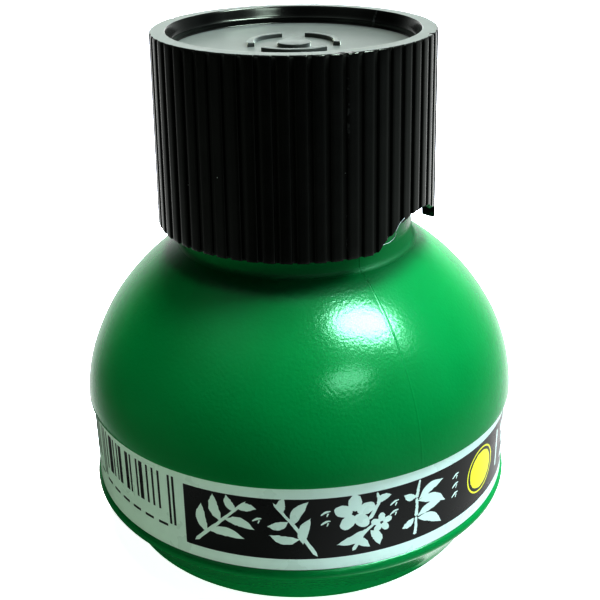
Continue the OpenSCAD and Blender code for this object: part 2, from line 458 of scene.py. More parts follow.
def printed():
    """What is printed on the film: outlines in label coordinates, each with its tone, lowest first."""
    low, high = label_low.z, label_high.z
    panel = box_outline(-30.1 * DEGREE, 163 * DEGREE, low + 1.6, high - 1.65)
    middle_z = low + 6.1

    marks = []
    for i, bearing in enumerate([-19.3, -2.6, 14.7, 32.1]):
        marks += sprig(bearing * DEGREE, middle_z, *SPRIGS[i])
    for i, bearing in enumerate([76, 96, 116, 136]):
        marks += sprig(bearing * DEGREE, middle_z, *SPRIGS[(i + 2) % 4])
    for bearing, z, count in [
        (-11.0, 7.0, 1), (5.4, 7.3, 2), (22.6, 7.2, 2), (41.8, 6.7, 3),
        (86, 7.2, 2), (106, 7.3, 2), (126, 6.8, 3),
    ]:
        marks += dabs(bearing * DEGREE, low + z, count)
    marks.append(box_outline(64.2 * DEGREE, 65.2 * DEGREE, middle_z - 2.6, middle_z + 2.8))

    sun_x = 53.5 * DEGREE
    sun = blob(sun_x, middle_z, 2.6, 2.6, count=48, rough=0.015)
    ring = blob(sun_x, middle_z, 3.25, 3.25, count=48)
    hollow = blob(sun_x, middle_z, 3.0, 3.0, count=48)

    black = bars(-97.1 * DEGREE, 0.675 * DEGREE, low + 5.0, high - 1.25, low + 3.4)
    dashes = 12  # in two groups under the bars
    for i in range(dashes):
        x = (-93.5 + i * 5.0 + (1.2 if i >= dashes // 2 else 0)) * DEGREE
        black.append(box_outline(x - 0.75, x + 0.75, low + 2.85, low + 3.2))
    for i in range(4):
        z = low + 2.6 + i * 1.7
        black.append(box_outline(-160 * DEGREE, (-112 - 7 * (i % 2)) * DEGREE, z, z + 0.35))
    black.append(box_outline(-172 * DEGREE, -164 * DEGREE, low + 2.6, high - 2.6))

    layers = [(panel, BLACK)] + [(outline, PAPER) for outline in marks]
    layers += [(ring, YELLOW), (hollow, BLACK), (sun, YELLOW)]
    return layers + [(outline, BLACK) for outline in black]


def cut_flat(layers):
    """The flat film, cut along every outline: its points, its triangles and each triangle's tone."""
    low, high = label_low.z, label_high.z
    vertices = [
        (FILM_START * DEGREE, low), (FILM_END * DEGREE, low),
        (FILM_END * DEGREE, high), (FILM_START * DEGREE, high),
    ]
    edges = [(0, 1), (1, 2), (2, 3), (3, 0)]
    for outline, _ in layers:
        first = len(vertices)
        vertices += outline
        edges += [(first + i, first + (i + 1) % len(outline)) for i in range(len(outline))]
    for bearing in np.arange(math.ceil(FILM_START), FILM_END, 1.5):
        first = len(vertices)
        vertices += [(bearing * DEGREE, low), (bearing * DEGREE, high)]
        edges.append((first, first + 1))
    points = [Vector(v) for v in vertices]
    made, _, triangles, *_ = geometry.delaunay_2d_cdt(points, edges, [], 0, 1e-5)
    triangles = [tuple(t) for t in triangles]
    flat = np.array([[v.x, v.y] for v in made])
    centres = flat[np.array(triangles)].mean(1)
    tones = np.full(len(triangles), PAPER)
    for outline, tone in layers:
        tones[inside(centres, outline)] = tone
    return made, triangles, tones


def wrapped(v, inward):
    """A point of the flat film, bent round the bottle, with the lap over the film's start."""
    bearing = v.x / DEGREE
    rise = 0.11 * smooth((bearing - FILM_END + LAP + 2.0) / 2.0)
    r = FILM_R + rise - inward
    a = math.radians(bearing)
    return (r * math.sin(a) * MM, -r * math.cos(a) * MM, v.y * MM)


def film_mesh(points, triangles, tones):
    """The bent film as a closed sheet with its thickness, an outer face, an inner one and a rim."""
    count = len(points)
    faces = triangles + [tuple(i + count for i in reversed(t)) for t in triangles]
    sides = dict.fromkeys((i, j) for t in triangles for i, j in zip(t, [*t[1:], t[0]]))
    faces += [(i, i + count, j + count, j) for i, j in sides if (j, i) not in sides]
    vertices = [wrapped(v, inward) for inward in (0.0, FILM_T) for v in points]
    mesh = bpy.data.meshes.new("label_film")
    mesh.from_pydata(vertices, [], faces)
    for material in (film("label_paper"), film("label_black"), film("label_yellow")):
        mesh.materials.append(material)
    mesh.polygons.foreach_set("material_index", [*tones, *[PAPER] * (len(faces) - len(tones))])
    return mesh


def label():
    """The printed film: one sheet, cut along every printed edge and bent round the bottle."""
    points, triangles, tones = cut_flat(printed())
    mesh = film_mesh(points, triangles, tones)
    normals = []
    for polygon in mesh.polygons:
        for v in polygon.vertices:
            x, y, _ = mesh.vertices[v].co
            out = Vector((x, y, 0)).normalized()
            if polygon.index < len(triangles):
                normals.append(out)
            elif polygon.index < 2 * len(triangles):
                normals.append(-out)
            else:
                normals.append(polygon.normal.copy())
    mesh.shade_smooth()
    mesh.normals_split_custom_set(normals)
    piece = new_object("label_film", mesh, "bottle_body", "label")
    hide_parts("label")


# ------------------------------------ cap


def groove_bearings():
    """Bearings that follow each groove's rounded edges, and its depth at each of them."""
    pitch = 360 / GROOVES
    per_mm = 360 / (2 * math.pi * SKIRT_R)
    half = 0.40
    right_side = [(0.15, GROOVE_H), (0.22, 0.33), (0.26, 0.25), (0.29, 0.12), (0.335, 0.03), (half, 0)]
    left_side = [(-x, depth) for x, depth in reversed(right_side)]
    bearings, depths = [], []
    for i in range(GROOVES):
        middle = pitch * (i + 0.3) - pitch / 2
        for x, depth in left_side + [(0.0, GROOVE_H)] + right_side:
            bearings.append(middle + x * per_mm)
            depths.append(depth)
        for share in (0.3, 0.5, 0.7):
            bearings.append(middle + half * per_mm + (pitch - 2 * half * per_mm) * share)
            depths.append(0.0)
    return np.array(bearings), np.array(depths)


def cap():
    """The moulded shell: recessed top, fluted skirt with a broken place, and a thread inside."""
    bearings, depths = groove_bearings()
    rng = np.random.default_rng(11)

    floor = pressed([(0.0, RECESS_Z), (6.0, RECESS_Z), (13.9, RECESS_Z)], 1.6)
    recess = arc(BEVEL_R - 0.22, RECESS_Z + 0.15, 0.15, -90, 0, 3) + [(BEVEL_R - 0.04, RECESS_Z + 0.45)]
    step = arc(BEVEL_R - 0.02 + 0.06, BEVEL_Z - 0.05, 0.06, 180, 110, 3)
    rim = pressed([(BEVEL_R + 0.08, BEVEL_Z + 0.1), (RECESS_R - 0.1, CAP_TOP - 0.2)], 0.3)
    rim += arc(RECESS_R + 0.06, CAP_TOP - 0.12, 0.12, 150, 90, 3)
    rim += pressed([(RECESS_R + 0.3, CAP_TOP), (TOP_R - 0.35, CAP_TOP)], 0.3)
    shoulder = arc(TOP_R - 0.2, CAP_TOP - 0.2, 0.2, 90, 0, 5)
    skirt = pressed([(TOP_R + 0.01, CAP_TOP - 0.5), (SKIRT_R - 0.01, SKIRT_Z + 0.45)], 1.2)
    hem = arc(SKIRT_R - 0.12, SKIRT_Z + 0.12, 0.12, 0, -90, 4) + [(SKIRT_R - 0.5, SKIRT_Z + 0.06)]
    mouth = pressed([(SKIRT_R - 0.6, SKIRT_Z + 0.09), (CAP_IN_R + 0.12, SKIRT_Z + 0.32)], 0.4)
    mouth += [(CAP_IN_R + 0.03, SKIRT_Z + 0.45)]
    wall = pressed([(CAP_IN_R, SKIRT_Z + 0.7), (CAP_IN_R, 52.5)], 0.16)
    wall += pressed([(CAP_IN_R, 53.0), (CAP_IN_R, CEILING_Z - 0.6)], 1.5)
    ceiling = arc(CAP_IN_R - 0.6, CEILING_Z - 0.6, 0.6, 0, 90, 5)[1:]
    ceiling += pressed([(CAP_IN_R - 1.0, CEILING_Z), (0.0, CEILING_Z)], 3.0)
    outline = floor + recess + step + rim + shoulder + skirt + hem + mouth + wall + ceiling
    shoulder_row = len(floor + recess + step + rim)
    skirt_row = shoulder_row + len(shoulder)
    hem_row = skirt_row + len(skirt)
    mouth_row = hem_row + len(hem)
    wall_row = mouth_row + len(mouth)
    ceiling_row = wall_row + len(wall)
    dents = rng.normal(0, 1, len(bearings))
    dents = np.convolve(np.concatenate([dents[-4:], dents, dents[:4]]), np.ones(9) / 9, "valid") * 0.05

    def shape(r, z, at, row):
        radii = np.full(len(at), float(r))
        if shoulder_row <= row < mouth_row:
            fade = smooth((CAP_TOP + 0.12 - z) / 0.55) * smooth((z - SKIRT_Z + 0.3) / 0.4)
            radii = radii - depths * fade
        if shoulder_row <= row < skirt_row:
            radii = radii - np.abs(dents) * (row - shoulder_row + 1) / len(shoulder)
        if hem_row <= row < mouth_row:
            radii = radii - np.abs(np.roll(dents, 40)) * 1.2
        if wall_row <= row < ceiling_row:
            radii = radii - THREAD_H * thread(z, at, THREAD_A + 180, 3)
        return radii

    points = turned(outline, bearings, shape)
    points[hem_row:mouth_row, :, 2] += np.abs(dents) * 0.8
    # Each is a bearing, how far it reaches in degrees, and its depth.
    nicks = [(194.6, 0.8, 0.12), (17, 1.2, 0.1), (21, 0.7, 0.07), (69, 0.8, 0.09), (243, 0.9, 0.08)]
    for bearing, width, depth in nicks:
        nick = depth * np.exp(-((away(bearings, bearing) / width) ** 2))
        for row in range(shoulder_row - 1, shoulder_row + 4):
            points[row, :, 2] -= nick
    gloss = black_plastic("black_gloss", 0.14, 0.24, 0.02, 0.005)
    # The matt finish's high tone, 0.06, paints the pale reflection of the bright studio that the cap's top
    # shows at a low view.
    matt = black_plastic("black_matt", 0.36, 0.44, 1.0, 0.06)
    piece = new_object("cap_shell", grid_mesh("cap_shell", points, True), "cap_body", "cap", gloss, matt)
    cut(piece, chip_cutter(rng))
    for polygon in piece.data.polygons:
        centre = polygon.center / MM
        on_floor = abs(centre.z - RECESS_Z) < 0.02 and centre.xy.length < BEVEL_R - 0.3
        if on_floor or centre.z > CAP_TOP - 0.01:
            polygon.material_index = 1
    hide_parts("cap")
    emblem(matt)
    flash(flash_plastic())


def chip_cutter(rng):
    """The piece that has broken out of the skirt's edge, with a rough face. Its outline's points are
    a length round the skirt and a height above the skirt's edge."""
    edge = spline([
        (-8.05, -0.1), (-7.4, 0.2), (-6.6, 1.1), (-5.9, 1.6), (-5.0, 2.1), (-4.2, 2.8), (-3.2, 3.1),
        (-2.2, 3.42), (-0.7, 3.64), (0.9, 3.66), (2.3, 3.45), (3.9, 2.8), (5.7, 2.05), (7.2, 1.7),
    ], 7)
    edge += [(7.55, 1.6), (7.62, 1.1), (7.57, 0.7), (7.65, 0.3), (7.62, -0.2), (7.62, -2.0), (-8.1, -2.0)]
    direction_of_middle = -34  # from +X
    count = len(edge)
    stations = np.linspace(12.5, 19.5, 43)
    roughness = 0.055
    lift = rng.normal(0, roughness, (len(stations), count))
    lift = sum(np.roll(lift, (i, j), (0, 1)) for i in range(3) for j in range(2)) / 2.6
    straight_side = 7  # the last points, which the break left smoother
    lift[:, -straight_side:] *= 0.5
    points = np.zeros((len(stations), count, 3))
    for i, r in enumerate(stations):
        for j, (t, h) in enumerate(edge):
            turn = (t + lift[i, j] * 0.5) / SKIRT_R
            sag = 0.22 * math.exp(-(((r - SKIRT_R + 0.4) / 0.22) ** 2)) if h > 0.5 else 0.0
            points[i, j] = (r * math.cos(turn), r * math.sin(turn), SKIRT_Z + h + lift[i, j] - sag)
    vertices = points.reshape(-1, 3)
    last = (len(stations) - 1) * count
    faces = [tuple(range(count)), tuple(reversed(range(last, last + count)))]
    for i in range(len(stations) - 1):
        for j in range(count):
            k = (j + 1) % count
            faces.append((i * count + j, (i + 1) * count + j, (i + 1) * count + k, i * count + k))
    mesh = bpy.data.meshes.new("chip_cutter")
    mesh.from_pydata((vertices * MM).tolist(), [], faces)
    mesh.transform(Matrix.Rotation(math.radians(direction_of_middle), 4, "Z"))
    tidy(mesh, 30)
    return mesh


def cut(piece, cutter_mesh):
    """Takes the cutter's shape out of the piece, for good."""
    cutter = bpy.data.objects.new("cutter", cutter_mesh)
    bpy.context.scene.collection.objects.link(cutter)
    cutter_mesh.materials.append(piece.data.materials[0])
    modifier = piece.modifiers.new("cut", "BOOLEAN")
    modifier.object = cutter
    modifier.operation = "DIFFERENCE"
    modifier.solver = "EXACT"
    graph = bpy.context.evaluated_depsgraph_get()
    made = bpy.data.meshes.new_from_object(piece.evaluated_get(graph))
    piece.modifiers.clear()
    piece.data = made
    bpy.data.objects.remove(cutter)
    made.set_sharp_from_angle(angle=math.radians(42))


def prism(outline, z0, z1, bevel):
    """A raised flat shape with softened top edges, from an outline of (x, y) in mm."""
    work = bmesh.new()
    ring = [work.verts.new((x * MM, y * MM, z0 * MM)) for x, y in outline]
    face = work.faces.new(ring)
    raised = bmesh.ops.extrude_face_region(work, geom=[face])
    top = [v for v in raised["geom"] if isinstance(v, bmesh.types.BMVert)]
    bmesh.ops.translate(work, verts=top, vec=(0, 0, (z1 - z0) * MM))
    edges = [e for e in work.edges if all(v in top for v in e.verts)]
    bmesh.ops.bevel(work, geom=edges, offset=bevel * MM, segments=3, profile=0.5, affect="EDGES")
    bmesh.ops.recalc_face_normals(work, faces=work.faces)
    return work


def emblem(material):
    """A drop in a broken ring, raised from the recess's floor."""
    drop_r, tip, low = 2.0, 4.1, -0.8
    touch = math.degrees(math.acos(drop_r / tip))
    drop = [(x, y + low) for x, y in arc(0, 0, drop_r, 90 + touch, 450 - touch, 40)] + [(0, tip + low)]
    shapes = [drop]
    for i in range(3):
        a0, a1 = 120 * i + 107, 120 * i + 193
        shapes.append(arc(0, 0, 5.6, a0, a1, 26) + arc(0, 0, 4.8, a1, a0, 26))
    mesh = bpy.data.meshes.new("cap_emblem")
    joined = bmesh.new()
    for outline in shapes:
        part = prism(outline, RECESS_Z - 0.05, RECESS_Z + 0.5, 0.07)
        part.to_mesh(mesh)
        joined.from_mesh(mesh)
        part.free()
    joined.to_mesh(mesh)
    joined.free()
    mesh.shade_smooth()
    mesh.set_sharp_from_angle(angle=math.radians(40))
    new_object("cap_emblem", mesh, "cap_body", "cap", material)


def flash(material):
    """A curl of plastic, white from bending, that still hangs from the broken edge."""
    route = [(33.9, 1.0), (34.8, 1.08), (36.4, 1.1), (38.2, 1.22), (39.7, 1.48), (40.4, 1.8), (40.2, 2.15),
             (40.9, 2.5), (42.2, 2.95), (43.6, 3.2), (45.2, 3.5)]
    line = spline(route, 5)
    sides, radius = 7, 0.04
    rows = []
    for i, (bearing, height) in enumerate(line):
        a = math.radians(bearing)
        r = SKIRT_R + 0.03 * math.sin(i * 0.25)
        centre = Vector((r * math.sin(a), -r * math.cos(a), SKIRT_Z + height))
        out = Vector((math.sin(a), -math.cos(a), 0))
        nearby = line[i + 1] if i + 1 < len(line) else line[i - 1]
        b = math.radians(nearby[0])
        other = Vector((r * math.sin(b), -r * math.cos(b), SKIRT_Z + nearby[1]))
        along = (other - centre).normalized()
        side = along.cross(out).normalized()
        thick = radius * (0.7 + 0.5 * math.sin(i * 1.7) ** 2)
        turns = [2 * math.pi * k / sides for k in range(sides)]
        rows.append([centre + thick * (out * math.cos(t) + side * math.sin(t)) for t in turns])
    rows = [[sum(rows[0], Vector()) / sides] * sides, *rows, [sum(rows[-1], Vector()) / sides] * sides]
    mesh = grid_mesh("cap_flash", np.array([[list(v) for v in row] for row in rows]), True)
    new_object("cap_flash", mesh, "cap_body", "cap", material)


# ------------------------------------ hidden pieces


EVEN_BEARINGS = np.arange(160) * 360 / 160


def inner_plug():
    """The stopper: a skirt in the neck, a flange on its mouth and a pouring spout in the middle."""
    low, tip, flange = plug_low.z, plug_high.z, MOUTH_Z + 1.2
    hole, spout, skirt_in, fit = 3.1, 4.6, MOUTH_R - 1.2, MOUTH_R - 0.02
    under = pressed([(hole, tip - 0.5), (hole, MOUTH_Z - 0.9)], 1.0) + [(hole + 0.05, MOUTH_Z - 1.0)]
    under += pressed([(hole + 0.3, MOUTH_Z - 1.0), (skirt_in - 0.6, MOUTH_Z - 0.15)], 1.0)
    skirt = arc(skirt_in - 0.5, MOUTH_Z - 0.65, 0.5, 90, 0, 4)
    skirt += pressed([(skirt_in, MOUTH_Z - 1.5), (skirt_in, low + 0.5)], 1)
    skirt += arc(skirt_in + 0.3, low + 0.3, 0.3, 180, 270, 4)
    skirt += [(MOUTH_R - 0.55, low + 0.02), (fit - 0.1, low + 1.2)]
    skirt += arc(fit - 0.13, low + 1.7, 0.2, -60, 60, 6)
    skirt += pressed([(fit, low + 2.2), (fit, MOUTH_Z - 0.02)], 1)
    top = pressed([(fit + 0.1, MOUTH_Z), (NECK_R - 0.5, MOUTH_Z)], 0.6)
    top += arc(NECK_R - 0.7, MOUTH_Z + 0.4, 0.4, -90, 0, 4)
    top += arc(NECK_R - 0.7, flange - 0.4, 0.4, 0, 90, 4)
    top += pressed([(NECK_R - 1.2, flange), (spout + 1.3, flange)], 1)
    nozzle = arc(spout + 1.0, flange + 1.0, 1.0, 270, 180, 6)
    nozzle += pressed([(spout, flange + 1.3), (spout, tip - 1.5)], 1)
    nozzle += arc(spout, tip - 0.5, 0.4, -50, 0, 3)
    nozzle += arc(spout, tip - 0.4, 0.4, 0, 90, 4)
    nozzle += arc(hole + 0.25, tip - 0.25, 0.25, 90, 180, 3)
    mesh = grid_mesh("pouring_plug", turned(under + skirt + top + nozzle, EVEN_BEARINGS), False)
    piece = new_object("pouring_plug", mesh, "bottle_body", "inner_plug", soft_plastic())
    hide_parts("inner_plug")


def cap_liner():
    """The sealing disc, with the ring that the spout has pressed into it."""
    low, high, r = liner_low.z, liner_high.z, liner_high.x
    outline = pressed([(0.0, low), (4.2, low)], 1) + arc(4.9, low, 0.3, 180, 0, 6)
    outline += pressed([(5.3, low), (r - 0.3, low)], 1)
    outline += arc(r - 0.2, low + 0.2, 0.2, -90, 0, 4) + arc(r - 0.2, high - 0.2, 0.2, 0, 90, 4)
    outline += pressed([(r - 0.5, high), (0.0, high)], 2)
    mesh = grid_mesh("sealing_disc", turned(outline, EVEN_BEARINGS), True)
    piece = new_object("sealing_disc", mesh, "liner_body", "cap_liner", foam())
    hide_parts("cap_liner")


def ink():
    """The ink's body keeps the CAD shape, and gets a liquid's surface."""
    frame["nodes"]["ink"].data.materials.clear()
    frame["nodes"]["ink"].data.materials.append(ink_liquid())


# ------------------------------------ materials


def build(name, **settings):
    """A new material: its node tree and its Principled shader, with constants on the shader itself."""
    material = bpy.data.materials.new(name)
    material.use_nodes = True
    shader = material.node_tree.nodes["Principled BSDF"]
    for socket, value in settings.items():
        shader.inputs[socket.replace("_", " ")].default_value = value
    return material, material.node_tree, shader


def add(tree, kind, inputs=(), **settings):
    """A node with its inputs set, each to a value or to another node's output."""
    made = tree.nodes.new(kind)
    for key, value in settings.items():
        setattr(made, key, value)
    for key, value in dict(inputs).items():
        if isinstance(value, bpy.types.NodeSocket):
            tree.links.new(value, made.inputs[key])
        else:
            made.inputs[key].default_value = value
    return made


def maths(tree, operation, *values):
    """The result of arithmetic on values and on other nodes' outputs."""
    return add(tree, "ShaderNodeMath", dict(enumerate(values)), operation=operation).outputs[0]


def place(tree):
    """The place on the object, in metres."""
    return add(tree, "ShaderNodeTexCoord").outputs["Object"]


def noise_at(tree, where, scale, detail=2.0, roughness=0.5):
    """Cloudy noise, mostly from 0.3 to 0.7."""
    inputs = {"Vector": where, "Scale": scale, "Detail": detail, "Roughness": roughness}
    return add(tree, "ShaderNodeTexNoise", inputs).outputs["Fac"]


def ramp(tree, value, low, high, to_low=0.0, to_high=1.0):
    """The value, stretched from low and high to the new ends and kept between them."""
    inputs = {"Value": value, "From Min": low, "From Max": high, "To Min": to_low, "To Max": to_high}
    return add(tree, "ShaderNodeMapRange", inputs).outputs["Result"]


def mixed(tree, factor, a, b):
    """Colour a where the factor is 0, and b where it is 1."""
    made = tree.nodes.new("ShaderNodeMix")
    made.data_type = "RGBA"
    for socket, value in (("Factor", factor), ("A", a), ("B", b)):
        slot = next(s for s in made.inputs if s.name == socket and s.enabled)
        if isinstance(value, bpy.types.NodeSocket):
            tree.links.new(value, slot)
        else:
            slot.default_value = value
    return next(s for s in made.outputs if s.enabled)


def specks(tree, where, scale, share, size):
    """1 on small dots, in a share of the cells of a grid, and 0 elsewhere."""
    cells = add(tree, "ShaderNodeTexVoronoi", {"Vector": where, "Scale": scale})
    near = ramp(tree, cells.outputs["Distance"], size, size * 0.6)
    pick = add(tree, "ShaderNodeSeparateColor", {"Color": cells.outputs["Color"]}).outputs["Red"]
    return maths(tree, "MULTIPLY", near, maths(tree, "LESS_THAN", pick, share))


def coat(tree, shader, colour, rough):
    """Gives the shader a colour and a roughness that vary from place to place."""
    tree.links.new(colour, shader.inputs["Base Color"])
    tree.links.new(rough, shader.inputs["Roughness"])


def bumped(tree, shader, layers):
    """Stacks bumps, each a height, its depth in metres and its strength, on the shader."""
    normal = None
    for height, depth, strength in layers:
        inputs = {"Height": height, "Distance": depth, "Strength": strength}
        if normal is not None:
            inputs["Normal"] = normal
        normal = add(tree, "ShaderNodeBump", inputs).outputs["Normal"]
    tree.links.new(normal, shader.inputs["Normal"])


def green_plastic():
    """The bottle's glossy plastic: clouded, dusty, finely pitted, and dulled by grime at the neck's
    foot."""
    material, tree, shader = build(
        "green_plastic", IOR=1.42, Specular_Tint=(0.58, 1.0, 0.85, 1),
        Subsurface_Weight=0.1, Subsurface_Scale=0.001, Subsurface_Radius=(0.3, 1.0, 0.45),
    )
    where = place(tree)
    cloud = ramp(tree, noise_at(tree, where, 70.0, 3.0), 0.3, 0.7)
    colour = mixed(tree, cloud, (0.0003, 0.18, 0.042, 1), (0.0006, 0.2, 0.048, 1))
    dust = specks(tree, where, 420.0, 0.05, 0.035)
    colour = mixed(tree, dust, colour, (0.5, 0.75, 0.6, 1))

    height = add(tree, "ShaderNodeSeparateXYZ", {"Vector": where}).outputs["Z"]
    # Grime lies between 39.3 and 41.8 mm up, with soft edges.
    from_below = ramp(tree, height, 0.0393, 0.0397)
    from_above = ramp(tree, height, 0.0418, 0.0412)
    grime = maths(tree, "MULTIPLY", from_below, from_above)
    smear = ramp(tree, noise_at(tree, where, 130.0, 4.0, 0.6), 0.3, 0.75, 0.17, 0.22)
    coat(tree, shader, colour, maths(tree, "MULTIPLY_ADD", grime, 0.45, smear))

    waves, peel = noise_at(tree, where, 260.0, 1.0), noise_at(tree, where, 2700.0, 1.5, 0.45)
    bumped(tree, shader, [(waves, 0.0001, 0.12), (peel, 0.00003, 0.65)])
    return material


def film(name):
    """One of the label's three tones on its smooth film."""
    tones = {
        "label_paper": (0.58, 0.76, 0.63, 1), "label_black": (0.007, 0.009, 0.0075, 1),
        "label_yellow": (0.72, 0.74, 0.02, 1),
    }
    material, tree, shader = build(name, IOR=1.5)
    where = place(tree)
    base = tones[name]
    shade = tuple(c * 0.93 for c in base[:3]) + (1,)
    colour = mixed(tree, ramp(tree, noise_at(tree, where, 240.0, 4.0, 0.6), 0.35, 0.7), base, shade)
    dust = specks(tree, where, 500.0, 0.04, 0.06)
    spot = (0.45, 0.55, 0.48, 1) if name == "label_black" else (0.2, 0.3, 0.22, 1)
    colour = mixed(tree, dust, colour, spot)
    coat(tree, shader, colour, ramp(tree, noise_at(tree, where, 180.0, 3.0), 0.3, 0.7, 0.24, 0.36))
    waves, fine = noise_at(tree, where, 160.0, 1.0), noise_at(tree, where, 2600.0, 1.0)
    bumped(tree, shader, [(waves, 0.00012, 0.25), (fine, 0.00001, 0.3)])
    return material


def black_plastic(name, smoothest, roughest, dusting, tone_and_painted_reflection):
    """Moulded black plastic with specks and a film of dust, worn where an edge stands out. A high tone
    lifts the dark colour to paint the pale reflection that a flat top shows at a low view.
    """
    material, tree, shader = build(
        name, IOR=1.52, Specular_Tint=(0.82, 1.0, 0.87, 1),
        Sheen_Weight=dusting, Sheen_Roughness=0.32, Sheen_Tint=(0.9, 1.0, 0.8, 1),
    )
    where = place(tree)
    grain = noise_at(tree, where, 300.0, 5.0, 0.65)
    # A low tone is the plastic's own near-black; a high one is painted reflection.
    tones = [(0.9 * share, share, 0.86 * share, 1) for share in (0.7 * tone_and_painted_reflection, tone_and_painted_reflection)]
    colour = mixed(tree, ramp(tree, grain, 0.35, 0.7), *tones)
    dust = specks(tree, where, 560.0, 0.06, 0.045)
    standing_out = add(tree, "ShaderNodeNewGeometry").outputs["Pointiness"]
    edge = ramp(tree, standing_out, 0.56, 0.66, 0.0, 0.35)
    broken = ramp(tree, noise_at(tree, where, 900.0, 3.0, 0.7), 0.52, 0.62)
    colour = mixed(tree, maths(tree, "MULTIPLY", edge, broken), colour, (0.10, 0.115, 0.105, 1))
    colour = mixed(tree, dust, colour, (0.35, 0.42, 0.38, 1))
    coat(tree, shader, colour, ramp(tree, grain, 0.3, 0.75, smoothest, roughest))
    waves, fine = noise_at(tree, where, 420.0, 2.0), noise_at(tree, where, 3000.0, 2.0)
    bumped(tree, shader, [(waves, 0.00004, 0.15), (fine, 0.000008, 0.25)])
    return material


def flash_plastic():
    """Black plastic gone pale where it was bent."""
    material, tree, shader = build("flash_plastic", IOR=1.5)
    bent = noise_at(tree, place(tree), 1500.0, 2.0)
    colour = mixed(tree, ramp(tree, bent, 0.3, 0.7), (0.28, 0.34, 0.3, 1), (0.5, 0.58, 0.52, 1))
    coat(tree, shader, colour, ramp(tree, bent, 0.3, 0.7, 0.35, 0.55))
    bumped(tree, shader, [(bent, 0.00002, 0.4)])
    return material


def soft_plastic():
    """The plug's waxy white plastic, stained by ink."""
    material, tree, shader = build(
        "soft_plastic", IOR=1.5,
        Subsurface_Weight=0.5, Subsurface_Scale=0.0015, Subsurface_Radius=(1.0, 0.9, 0.75),
    )
    where = place(tree)
    cloud = ramp(tree, noise_at(tree, where, 120.0, 4.0), 0.3, 0.7)
    colour = mixed(tree, cloud, (0.80, 0.80, 0.75, 1), (0.72, 0.73, 0.67, 1))
    stain = ramp(tree, noise_at(tree, where, 260.0, 5.0, 0.7), 0.60, 0.74)
    colour = mixed(tree, stain, colour, (0.05, 0.05, 0.055, 1))
    coat(tree, shader, colour, ramp(tree, noise_at(tree, where, 400.0, 3.0), 0.3, 0.7, 0.34, 0.5))
    bumped(tree, shader, [(noise_at(tree, where, 900.0, 2.0), 0.00003, 0.4)])
    return material


def foam():
    """The sealing disc's fine-celled foam, stained by ink."""
    material, tree, shader = build("foam_disc", IOR=1.45, Subsurface_Weight=0.3, Subsurface_Scale=0.001)
    where = place(tree)
    cells = add(tree, "ShaderNodeTexVoronoi", {"Vector": where, "Scale": 3200.0}).outputs["Distance"]
    cloud = ramp(tree, noise_at(tree, where, 200.0, 4.0), 0.3, 0.7)
    colour = mixed(tree, cloud, (0.78, 0.78, 0.73, 1), (0.68, 0.68, 0.63, 1))
    stain = ramp(tree, noise_at(tree, where, 330.0, 4.0, 0.7), 0.58, 0.66)
    colour = mixed(tree, stain, colour, (0.03, 0.03, 0.035, 1))
    coat(tree, shader, colour, ramp(tree, cells, 0.0, 0.8, 0.55, 0.8))
    bumped(tree, shader, [(cells, 0.00006, 0.6)])
    return material


def ink_liquid():
    """Black ink with a faint skin."""
    material, tree, shader = build("ink_liquid", IOR=1.34)
    where = place(tree)
    skin = ramp(tree, noise_at(tree, where, 60.0, 3.0), 0.4, 0.7)
    colour = mixed(tree, skin, (0.003, 0.003, 0.004, 1), (0.008, 0.008, 0.012, 1))
    coat(tree, shader, colour, ramp(tree, noise_at(tree, where, 90.0, 3.0), 0.3, 0.7, 0.04, 0.1))
    bumped(tree, shader, [(noise_at(tree, where, 110.0, 1.0), 0.0001, 0.1)])
    return material


# ------------------------------------ stage, lights and camera, in metres


AIM = Vector((0, 0, 0.03))  # the point that every lamp faces
STUDIO_DISTANCE = 0.5  # from there to each lamp of the studio


def flat_object(name, work, material):
    """An object of its own from a bmesh, which it frees."""
    mesh = bpy.data.meshes.new(name)
    work.to_mesh(mesh)
    work.free()
    mesh.materials.append(material)
    made = bpy.data.objects.new(name, mesh)
    bpy.context.scene.collection.objects.link(made)
    return made


def stage():
    """A pale floor that only the camera sees, and a dark disc under the bottle that only gloss sees:
    painted shade for the shaded table round the base.
    """
    material, tree, shader = build(
        "floor_paper", Roughness=0.9, Emission_Color=(1, 1, 1, 1), Emission_Strength=0.97,
    )
    shade = noise_at(tree, place(tree), 6.0, 2.0)
    paper = mixed(tree, shade, (0.93, 0.93, 0.93, 1), (0.95, 0.95, 0.95, 1))
    tree.links.new(paper, shader.inputs["Base Color"])
    half_side, squares = 4.0, 24
    work = bmesh.new()
    bmesh.ops.create_grid(work, x_segments=squares, y_segments=squares, size=half_side)
    floor = flat_object("floor", work, material)
    floor.visible_diffuse = floor.visible_glossy = floor.visible_shadow = False

    # The dark disc is painted shade: it stands in for the table's shaded ground round the base, as the
    # base's gloss reflects it.
    shade_finish = build("painted_table_shade", Base_Color=(0.01, 0.01, 0.01, 1), Roughness=1.0)[0]
    radius, middle = 0.036, Matrix.Translation((-0.015, 0, -0.0001))
    work = bmesh.new()
    bmesh.ops.create_circle(work, cap_ends=True, segments=96, radius=radius, matrix=middle)
    painted_shade_disc = flat_object("painted_shade_disc", work, shade_finish)
    painted_shade_disc.visible_camera = painted_shade_disc.visible_diffuse = painted_shade_disc.visible_shadow = False


def direction(bearing, elevation):
    """The unit vector to a bearing (0 = towards the camera's side, 90 = right) and an elevation."""
    b, e = math.radians(bearing), math.radians(elevation)
    return Vector((math.sin(b) * math.cos(e), -math.cos(b) * math.cos(e), math.sin(e)))


def lit_from(name, kind, bearing, elevation, distance, power):
    """A lamp that faces the bottle."""
    lamp = bpy.data.lights.new(name, kind)
    lamp.energy = power
    holder = bpy.data.objects.new(name, lamp)
    bpy.context.scene.collection.objects.link(holder)
    out = direction(bearing, elevation)
    holder.location = AIM + out * distance
    holder.rotation_mode = "QUATERNION"
    holder.rotation_quaternion = out.to_track_quat("Z", "Y")
    return holder


